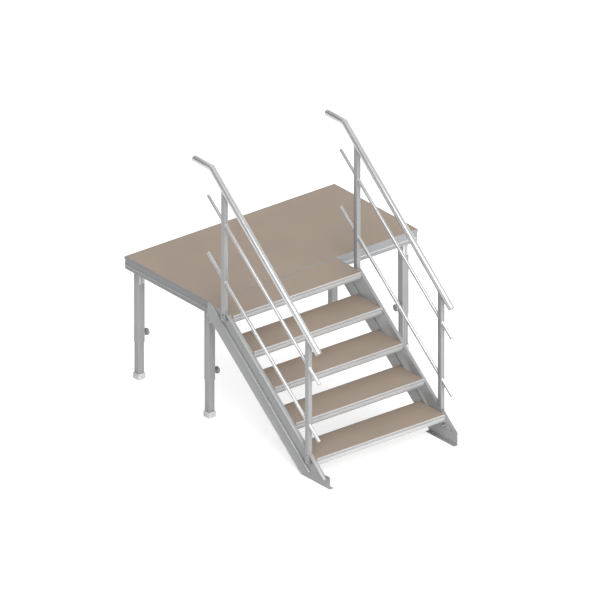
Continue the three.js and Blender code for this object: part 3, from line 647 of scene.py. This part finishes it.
def board(name, node):
    """A plywood board: patterned film on top, smooth film below, bare layers at its edges."""
    low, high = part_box(node)
    mesh = bmesh.new()
    box(mesh, low, high)
    for face in mesh.faces:
        face.material_index = 0 if face.normal.z > 0.5 else 1 if face.normal.z < -0.5 else 2
    body = body_of(frame["nodes"][node])[0]
    made = piece_of(name, mesh, [FILM_TOP, FILM_UNDER, PLY], body, bevel=0.0012)
    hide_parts(node)


def deck():
    board("deck_board", "deck_panel")
    # The front and back rails take the frame aluminium painted lighter, the side rails the one painted
    # darker: painted light and shade
    for side in ("front", "back"):
        dress(f"frame_rail_{side}", FRAME_PAINTED_LIGHT_X)
    for side in ("left", "right"):
        dress(f"frame_rail_{side}", FRAME_PAINTED_SHADE_Y)
    for place in ("left", "centre", "right"):
        dress(f"cross_beam_{place}", MILL_Y, width=0.0015)
        beam_angles(place)


def beam_angles(place):
    """Angle brackets that screw a cross beam's ends to the frame, one at each side of each end."""
    low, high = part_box(f"cross_beam_{place}")
    bottom, top = low.z + BRACKET_DROP, high.z - BRACKET_DROP
    level = (bottom + top) / 2
    mesh = bmesh.new()
    screws = []
    for end, inward in ((low.y, 1), (high.y, -1)):
        for side, outward in ((low.x, -1), (high.x, 1)):
            near, far = end + inward * BRACKET_GAP, end + inward * BRACKET_LEG
            thick_x = side + outward * BRACKET_THICKNESS
            thick_y = end + inward * BRACKET_THICKNESS
            xs = sorted((side + outward * BRACKET_GAP, thick_x))
            box(mesh, (xs[0], min(near, far), bottom), (xs[1], max(near, far), top))
            xs = sorted((thick_x, side + outward * BRACKET_LEG))
            ys = sorted((near, thick_y))
            box(mesh, (xs[0], ys[0], bottom), (xs[1], ys[1], top))
            hole = BRACKET_LEG * BRACKET_HOLE
            screws.append(((thick_x, end + inward * hole, level), (outward, 0, 0)))
            screws.append(((side + outward * hole, thick_y, level), (0, inward, 0)))
    piece_of(f"beam_brackets_{place}", mesh, MILL_Z, "deck", bevel=0.0005)
    fasteners(f"beam_screws_{place}", "deck", screws, socket_screw)


# ---------- legs ----------


def knob(place, inward):
    """A lobed hand knob with a domed cap, on a threaded screw."""
    low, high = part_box(f"clamp_knob_{place}")
    axis = X_AXIS * inward
    centre = middle(f"clamp_knob_{place}")
    far = high.x if inward > 0 else low.x
    outer = Vector((far, centre.y, centre.z))
    lay = lay_along(axis)
    rings = []
    for along, share in KNOB_PROFILE:
        fluted = max(0.0, (share - KNOB_FLUTE_START) / (1 - KNOB_FLUTE_START))
        ring = []
        for angle in round_angles(KNOB_LOBES * KNOB_LOBE_STEPS):
            wave = (1 - math.cos(KNOB_LOBES * angle)) / 2
            reach = KNOB_RADIUS * share - KNOB_FLUTE * fluted * wave**KNOB_FLUTE_POWER
            point = Vector((reach * math.cos(angle), reach * math.sin(angle), along - KNOB_LENGTH))
            ring.append(outer + lay @ point)
        rings.append(ring)
    mesh = bmesh.new()
    loft(mesh, rings)
    grip = piece_of(f"clamp_knob_grip_{place}", mesh, KNOB, f"knob_{place}")
    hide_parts(f"clamp_knob_{place}")

    tip = Vector((far - inward * (KNOB_LENGTH + SCREW_LENGTH), centre.y, centre.z))
    thread = []
    for turn in range(int((SCREW_LENGTH + SCREW_BITE) / THREAD_PITCH)):
        root = turn * THREAD_PITCH
        thread.append((root, SCREW_RADIUS - THREAD_DEPTH))
        thread.append((root + THREAD_PITCH * THREAD_CREST, SCREW_RADIUS))
    mesh = bmesh.new()
    turned(mesh, thread, tip, axis, sides=32)
    piece_of(f"clamp_screw_{place}", mesh, STEEL, f"knob_{place}")


def boss(place, inward):
    """The threaded boss that the knob's screw turns in, with its flange riveted to the leg."""
    low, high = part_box(f"clamp_boss_{place}")
    axis = X_AXIS * inward
    centre = middle(f"clamp_boss_{place}")
    seat = Vector((low.x if inward > 0 else high.x, centre.y, centre.z))
    flat = BOSS_FLANGE_THICKNESS
    neck, root = flat + BOSS_FILLET, BOSS_RADIUS + BOSS_FILLET
    section = [(0, BOSS_BORE), (0, BOSS_FLANGE), (flat - BOSS_CHAMFER, BOSS_FLANGE)]
    section += [(flat, BOSS_FLANGE - BOSS_CHAMFER), (flat, root)]
    section += [(neck - y, root - x) for x, y in arc((0, 0), BOSS_FILLET, 30, 60, 2)]
    section += [(neck, BOSS_RADIUS), (BOSS_LENGTH - BOSS_END_CHAMFER, BOSS_RADIUS)]
    section += [(BOSS_LENGTH, BOSS_RADIUS - BOSS_END_CHAMFER), (BOSS_LENGTH, BOSS_BORE + BOSS_CHAMFER)]
    section += [(BOSS_LENGTH - BOSS_CHAMFER, BOSS_BORE)]
    mesh = bmesh.new()
    turned_ring(mesh, section, seat, axis, sides=64)
    made = piece_of(f"clamp_boss_turned_{place}", mesh, MILL_Z, "deck")
    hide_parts(f"clamp_boss_{place}")
    seats = []
    for k in range(RIVET_COUNT):
        angle = 2 * math.pi * (k + 0.5) / RIVET_COUNT
        out = Vector((0, math.cos(angle), math.sin(angle)))
        seats.append((seat + axis * flat + out * RIVET_CIRCLE, axis))
    fasteners(f"boss_rivets_{place}", "deck", seats, socket_screw, radius=0.0024)


def slide_strips(place, axis):
    """Bright strips on the outer tube's front and back, under the deck's frame."""
    face = LEG_TUBE / 2
    mesh = bmesh.new()
    for toward in (-1, 1):
        near, far = face + STRIP_GAP, face + STRIP_THICKNESS
        ys = sorted((axis.y + toward * near, axis.y + toward * far))
        for side in (-1, 1):
            x = axis.x + side * STRIP_SPREAD
            low = (x - STRIP_WIDTH / 2, ys[0], RAIL_FOOT - STRIP_LENGTH)
            box(mesh, low, (x + STRIP_WIDTH / 2, ys[1], RAIL_FOOT - STRIP_DROP))
    piece_of(f"slide_strips_{place}", mesh, BRIGHT_Z, "deck", bevel=0.0004)


def guide_bush(place, axis):
    """The plastic bush under the outer tube's end that the inner tube slides through."""
    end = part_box(f"leg_outer_tube_{place}")[0].z
    top, foot = end - BUSH_GAP, end - BUSH_HEIGHT
    wide = LEG_TUBE / 2 - BUSH_INSET
    corners = ((1, 1), (-1, 1), (-1, -1), (1, -1))
    rings = []
    for z, reach in ((top, wide), (foot, wide - BUSH_TAPER), (foot, BUSH_BORE), (top, BUSH_BORE)):
        rings.append([(axis.x + sx * reach, axis.y + sy * reach, z) for sx, sy in corners])
    mesh = bmesh.new()
    loft(mesh, rings, closed=True)
    piece_of(f"guide_bush_{place}", mesh, PLUG, "deck", bevel=0.0006)


def leg_fasteners(place, inward, axis):
    """The bolts through the socket's two inner faces, and the screws of the foot."""
    low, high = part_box(f"leg_socket_{place}")
    toward = 1 if axis.y < DECK.y else -1
    face_x = high.x if inward > 0 else low.x
    face_y = high.y if toward > 0 else low.y
    levels = (low.z + SOCKET_BOLT_LOW, high.z - SOCKET_BOLT_HIGH)
    bolts = [((face_x, axis.y, z), (inward, 0, 0)) for z in levels]
    bolts += [((axis.x, face_y, z), (0, toward, 0)) for z in levels]
    fasteners(f"socket_bolts_{place}", "deck", bolts, across=0.016)
    low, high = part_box(f"leg_foot_{place}")
    level = (low.z + high.z) / 2
    screws = [((axis.x, low.y, level), (0, -1, 0)), ((axis.x, high.y, level), (0, 1, 0))]
    fasteners(f"foot_screws_{place}", f"leg_{place}", screws, socket_screw, radius=0.004)


def leg(place, inward):
    dress(f"leg_socket_{place}", FRAME_Z, width=0.0015)
    dress(f"leg_outer_tube_{place}", MILL_Z, width=0.0006)
    dress(f"leg_inner_tube_{place}", MILL_Z, width=0.0005)
    dress(f"leg_foot_{place}", FOOT, width=0.0015)
    knob(place, inward)
    boss(place, inward)
    axis = middle(f"leg_inner_tube_{place}")
    slide_strips(place, axis)
    guide_bush(place, axis)
    leg_fasteners(place, inward, axis)


# ---------- stair ----------


def nosing_outline(front, top, foot):
    """The nosing's section in Y and Z, with grooves along its front."""
    back, seat = front + NOSING_DEPTH, top - PANEL
    lean = front + NOSING_LEAN
    outline = arc((front + NOSING_ROUND, top - NOSING_ROUND), NOSING_ROUND, 180, 90, 5)
    outline += [(front + TREAD_LIP, top), (front + TREAD_LIP, seat), (back, seat), (back, foot)]
    outline += [(lean + NOSING_CHAMFER, foot), (lean, foot + NOSING_CHAMFER), (front, top - NOSING_TURN)]
    inner, slant = front + GROOVE_DEPTH, GROOVE_DEPTH / 2
    for k in range(GROOVE_COUNT):
        low = top - GROOVES_FOOT + k * 2 * GROOVE_HEIGHT
        high = low + GROOVE_HEIGHT
        outline += [(front, low), (inner, low + slant), (inner, high - slant), (front, high)]
    return outline


def in_groove(face, front, top):
    """Whether a face of the nosing is a groove's floor or one of its slanting sides."""
    centre = face.calc_center_median()
    behind = (centre.y - front) / GROOVE_DEPTH
    return 0.4 < behind < 1.2 and centre.z < top - NOSING_ROUND


def tread(step):
    """A tread's frame: a ribbed nosing, a back beam and two end bars, and its board."""
    node = f"tread_frame_{step}"
    low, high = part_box(node)
    front, back, top = low.y, high.y, high.z
    seat, foot, near = top - PANEL, top - TREAD_BODY, back - TREAD_BEAM
    edge = back - TREAD_BACK_LIP
    beam = [(near, seat), (edge, seat), (edge, top), (back, top), (back, foot), (near, foot)]
    mesh = bmesh.new()
    prism_x(mesh, nosing_outline(front, top, low.z), low.x, high.x)
    # The grooves' faces take the darker aluminium: painted shade in the grooves
    for face in mesh.faces:
        face.material_index = 1 if in_groove(face, front, top) else 0
    prism_x(mesh, beam, low.x, high.x)
    for xs in ((low.x, low.x + TREAD_END_BAR), (high.x - TREAD_END_BAR, high.x)):
        start = (xs[0], front + NOSING_DEPTH + TREAD_BAR_GAP, foot)
        box(mesh, start, (xs[1], near - TREAD_BAR_GAP, seat))
    looks = [BRIGHT_X, GROOVE_PAINTED_SHADE_X]
    made = piece_of(f"tread_profile_{step}", mesh, looks, "stair", bevel=0.0004)
    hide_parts(node)
    board(f"tread_film_{step}", f"tread_board_{step}")


def stair_bolts(side, outward):
    """The fasteners of one side: treads to stringer, posts to stringer, stringer to foot."""
    web_reach = abs(middle(f"post_upper_{side}").x - STAIR_X) - POST_HALF_WIDTH - PIECE_GAP
    web = STAIR_X + outward * web_reach
    heads = []
    for step in STEPS:
        low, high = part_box(f"tread_frame_{step}")
        level = high.z - TREAD_SCREW_DEPTH
        heads += [((web, low.y + along, level), (outward, 0, 0)) for along in TREAD_SCREWS]
    fasteners(f"tread_screws_{side}", "stair", heads, socket_screw, radius=0.005)
    post_bolts = []
    for level in LEVELS:
        low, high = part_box(f"post_{level}_{side}")
        face = low.x if outward < 0 else high.x
        for up in POST_BOLTS[level]:
            post_bolts.append(((face, (low.y + high.y) / 2, low.z + up), (outward, 0, 0)))
    fasteners(f"post_bolts_{side}", "stair", post_bolts)
    low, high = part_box(f"stair_foot_{side}")
    face = low.x + STAIR_FOOT_PLATE if outward < 0 else high.x - STAIR_FOOT_PLATE
    feet = [((face, low.y + along, z), (-outward, 0, 0)) for along, z in STAIR_FOOT_BOLTS]
    fasteners(f"stair_foot_bolts_{side}", "stair", feet, across=0.018)


def hangers(side):
    """The hanger on the deck's front rail and the hook under the top tread that drops into it."""
    dress(f"stair_hook_{side}", MILL_X)
    # The hanger takes the frame aluminium painted lighter: painted light
    dress(f"stair_hanger_{side}", FRAME_PAINTED_LIGHT_X, width=0.0006)
    low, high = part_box(f"stair_hook_{side}")
    under = high.z - HOOK_WALL
    spread = (high.x - low.x) * HOOK_BOLT_SPREAD
    x = middle(f"stair_hook_{side}").x
    seats = [((x + k * spread, low.y + HOOK_BOLT_Y, under), (0, 0, -1)) for k in (-1, 1)]
    fasteners(f"hook_bolts_{side}", "stair", seats)


# ---------- handrails ----------


def rail_line(path, side):
    """The rail's centre line as points of the frame, from (Y from the deck's middle, height) pairs."""
    x = middle(f"post_upper_{side}").x
    return [Vector((x, DECK.y + y, z)) for y, z in path]


def mitred_ring(point, before, mitre, reach, sides):
    """Points round a tube that runs along before, where a plane square to mitre cuts it."""
    up = before.cross(X_AXIS)
    ring = []
    for angle in round_angles(sides):
        offset = (X_AXIS * math.cos(angle) + up * math.sin(angle)) * reach
        offset -= before * (offset.dot(mitre) / before.dot(mitre))
        ring.append(point + offset)
    return ring


def tube(mesh, line, radius, wall, sides):
    """Adds a round tube with mitred bends and rounded rims along a line in a plane of constant X."""
    steps = []
    for i, point in enumerate(line):
        before = (point - line[i - 1]).normalized() if i else (line[1] - point).normalized()
        after = (line[i + 1] - point).normalized() if i + 1 < len(line) else before
        steps.append((point, before, (before + after).normalized()))

    def ring(step, reach, shift=0.0):
        point, before, mitre = step
        return mitred_ring(point + before * shift, before, mitre, reach, sides)

    first, bends, last = steps[0], steps[1:-1], steps[-1]
    rim = wall * RIM_SHARE
    turn = rim * 0.3
    bore = radius - wall
    rings = [ring(first, radius - rim), ring(first, radius - turn, turn), ring(first, radius, rim)]
    rings += [ring(step, radius) for step in bends]
    rings += [ring(last, radius, -rim), ring(last, radius - turn, -turn), ring(last, radius - rim)]
    rings += [ring(last, bore)]
    rings += [ring(step, bore) for step in reversed(bends)]
    rings += [ring(first, bore)]
    loft(mesh, rings, closed=True)


def plugs(name, line, bore):
    """Slightly domed plugs in both ends of a tube."""
    fit = bore - PLUG_FIT
    profile = [(-PLUG_DEPTH, fit), (0.0002, fit), (0.0009, bore * 0.93)]
    profile += [(0.0016, bore * 0.75), (0.0021, bore * 0.4), (0.0022, bore * 0.1)]
    mesh = bmesh.new()
    turned(mesh, profile, line[0], (line[0] - line[1]).normalized())
    turned(mesh, profile, line[-1], (line[-1] - line[-2]).normalized())
    piece_of(name, mesh, PLUG, "stair")


def top_rail(side):
    line = rail_line([TOP_RAIL_LOW, TOP_RAIL_BEND, TOP_RAIL_END], side)
    mesh = bmesh.new()
    tube(mesh, line, TOP_RAIL_RADIUS, TOP_RAIL_WALL, TOP_RAIL_SIDES)
    made = piece_of(f"top_rail_tube_{side}", mesh, RAIL_SLOPE, "stair")
    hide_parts(f"top_rail_{side}")
    plugs(f"top_rail_plugs_{side}", line, TOP_RAIL_RADIUS - TOP_RAIL_WALL)
    return line


def mid_rail(side, level):
    low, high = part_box(f"mid_rail_{level}_{side}")
    inset = MID_RAIL_RADIUS * math.sin(SLOPE_ANGLE)
    lift = MID_RAIL_RADIUS * math.cos(SLOPE_ANGLE)
    ends = [(low.y + inset, low.z + lift), (high.y - inset, high.z - lift)]
    x = middle(f"post_upper_{side}").x
    line = [Vector((x, y, z)) for y, z in ends]
    mesh = bmesh.new()
    tube(mesh, line, MID_RAIL_RADIUS, MID_RAIL_WALL, MID_RAIL_SIDES)
    made = piece_of(f"mid_rail_tube_{level}_{side}", mesh, RAIL_SLOPE, "stair")
    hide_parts(f"mid_rail_{level}_{side}")
    plugs(f"mid_rail_plugs_{level}_{side}", line, MID_RAIL_RADIUS - MID_RAIL_WALL)
    return line


def post_weld(mesh, centre, half, start, run):
    """Adds the bead round a post's coped top, along the underside of the top rail."""
    corners = ((-1, -1), (1, -1), (1, 1), (-1, 1))
    loop = []
    for (x0, y0), (x1, y1) in zip(corners, corners[1:] + corners[:1]):
        for k in range(POST_WELD_STEPS):
            share = k / POST_WELD_STEPS
            x = (x0 + (x1 - x0) * share) * half.x
            y = (y0 + (y1 - y0) * share) * half.y
            axis_z = start.z + run.z / run.y * (centre.y + y - start.y)
            z = axis_z - math.sqrt(TOP_RAIL_RADIUS**2 - x**2) / run.y
            loop.append(Vector((centre.x + x, centre.y + y, z)))
    bead(mesh, loop)


def seat_weld(mesh, x, y, line):
    """Adds the bead round a middle rail, where it goes through a post's face at this Y."""
    way = (line[1] - line[0]).normalized()
    middle_z = line[0].z + way.z / way.y * (y - line[0].y)
    reach = MID_RAIL_RADIUS + SEAT_WELD_LIFT
    loop = []
    for angle in round_angles(SEAT_WELD_STEPS):
        loop.append(Vector((x + reach * math.cos(angle), y, middle_z + reach * math.sin(angle) / way.y)))
    bead(mesh, loop, radius=SEAT_WELD_RADIUS)


def rail_welds(side, top_line, mid_lines):
    """The weld beads round the posts' tops, the middle rails' seats and the top rail's mitre."""
    mesh = bmesh.new()
    run = (top_line[1] - top_line[0]).normalized()
    for level in LEVELS:
        low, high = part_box(f"post_{level}_{side}")
        centre, half = (low + high) / 2, (high - low) / 2
        post_weld(mesh, centre, half, top_line[0], run)
        for line in mid_lines:
            for face in (-1, 1):
                seat_weld(mesh, centre.x, centre.y + face * half.y, line)
    mitre = (run + Y_AXIS).normalized()
    reach = TOP_RAIL_RADIUS - MITRE_WELD_SINK
    loop = mitred_ring(top_line[1], run, mitre, reach, MITRE_WELD_STEPS)
    bead(mesh, loop, radius=MITRE_WELD_RADIUS)
    piece_of(f"rail_welds_{side}", mesh, WELD, "stair")


def stair():
    for step in STEPS:
        tread(step)
    for side, outward in SIDES:
        dress(f"stringer_{side}", MILL_SLOPE)
        dress(f"stair_foot_{side}", MILL_Y)
        for level in LEVELS:
            dress(f"post_{level}_{side}", MILL_Z, width=0.0012)
        stair_bolts(side, outward)
        hangers(side)
        top_line = top_rail(side)
        mid_lines = [mid_rail(side, level) for level in LEVELS]
        rail_welds(side, top_line, mid_lines)


deck()
for place, inward in LEGS:
    leg(place, inward)
stair()

# ---------- studio ----------

FLOOR_REACH = 30.0
FLOOR_THICKNESS = 0.05
CAMERA_AZIMUTH, CAMERA_ELEVATION = -38.56, 25.73
CAMERA_WIDTH = 4.461
CAMERA_DISTANCE = 12
CAMERA_REACH = 100
CAMERA_AIM = Vector((0.052, -0.278, -0.384))  # from the middle of the deck's top


def direction(azimuth, elevation):
    """The way from the object to a place round it. Azimuth 0 is in front of it."""
    a, e = math.radians(azimuth), math.radians(elevation)
    return Vector((math.sin(a) * math.cos(e), -math.cos(a) * math.cos(e), math.sin(e)))


def floor():
    mesh = bmesh.new()
    low = (-FLOOR_REACH, -FLOOR_REACH, -FLOOR_THICKNESS)
    box(mesh, low, (FLOOR_REACH, FLOOR_REACH, 0))
    data = bpy.data.meshes.new("floor")
    mesh.to_mesh(data)
    mesh.free()
    data.materials.append(studio_floor("studio_floor"))
    slab = bpy.data.objects.new("floor", data)
    bpy.context.scene.collection.objects.link(slab)


def sun(name, energy, spread, toward):
    light = bpy.data.lights.new(name, "SUN")
    light.energy = energy
    light.angle = spread
    lamp = bpy.data.objects.new(name, light)
    lamp.rotation_mode = "QUATERNION"
    lamp.rotation_quaternion = toward.to_track_quat("Z", "Y")
    bpy.context.scene.collection.objects.link(lamp)


def dome(tree):
    """A light tent: brightest in front of the object and above it, with a grey flag high on its
    right, a fill low behind its right, and as pale as the floor below the horizon."""
    place = tree.nodes.new("ShaderNodeTexCoord").outputs["Generated"]

    def swell(toward, nearness, strength):
        """A strength that goes smoothly from one value to another, nearer and nearer a direction."""
        near = tree.nodes.new("ShaderNodeVectorMath")
        near.operation = "DOT_PRODUCT"
        near.inputs[1].default_value = toward
        tree.links.new(place, near.inputs[0])
        change = tree.nodes.new("ShaderNodeMapRange")
        change.interpolation_type = "SMOOTHSTEP"
        tree.links.new(near.outputs["Value"], change.inputs["Value"])
        for key, value in zip(("From Min", "From Max", "To Min", "To Max"), nearness + strength):
            change.inputs[key].default_value = value
        return change.outputs["Result"]

    strength = swell(direction(5, 35), nearness=(-0.3, 1.0), strength=(0.36, 1.5))
    flag = swell(direction(65, 51), nearness=(0.70, 0.95), strength=(1.0, 0.45))
    back_fill = swell(direction(130, 12), nearness=(0.1, 0.9), strength=(1.0, 2.2))
    under = swell(direction(0, -90), nearness=(0.04, 0.08), strength=(0.0, 1.0))
    for operation, factor in (("MULTIPLY", flag), ("MULTIPLY", back_fill), ("MAXIMUM", under)):
        light = tree.nodes.new("ShaderNodeMath")
        light.operation = operation
        tree.links.new(strength, light.inputs[0])
        tree.links.new(factor, light.inputs[1])
        strength = light.outputs[0]
    background = tree.nodes["Background"]
    background.inputs["Color"].default_value = (0.975, 0.988, 1.0, 1)
    tree.links.new(strength, background.inputs["Strength"])


def studio():
    floor()
    world = bpy.data.worlds.new("studio")
    bpy.context.scene.world = world
    world.use_nodes = True
    dome(world.node_tree)
    sun("key", energy=2.0, spread=0.9, toward=direction(-5, 36))
    sun("low_fill", energy=1.8, spread=0.6, toward=direction(-18, 12))
    sun("rail_light", energy=0.6, spread=0.45, toward=direction(-48, 57))
    bpy.context.scene.view_settings.view_transform = "Standard"


def camera():
    lens = bpy.data.cameras.new("camera")
    lens.type = "ORTHO"
    lens.ortho_scale = CAMERA_WIDTH
    lens.clip_end = CAMERA_REACH
    eye = bpy.data.objects.new("camera", lens)
    back = direction(CAMERA_AZIMUTH, CAMERA_ELEVATION)
    target = Vector((DECK.x, DECK.y, DECK_TOP)) + CAMERA_AIM
    eye.location = target + back * CAMERA_DISTANCE
    eye.rotation_mode = "QUATERNION"
    eye.rotation_quaternion = (-back).to_track_quat("-Z", "Y")
    bpy.context.scene.collection.objects.link(eye)
    bpy.context.scene.camera = eye


studio()
camera()

bpy.context.view_layer.update()
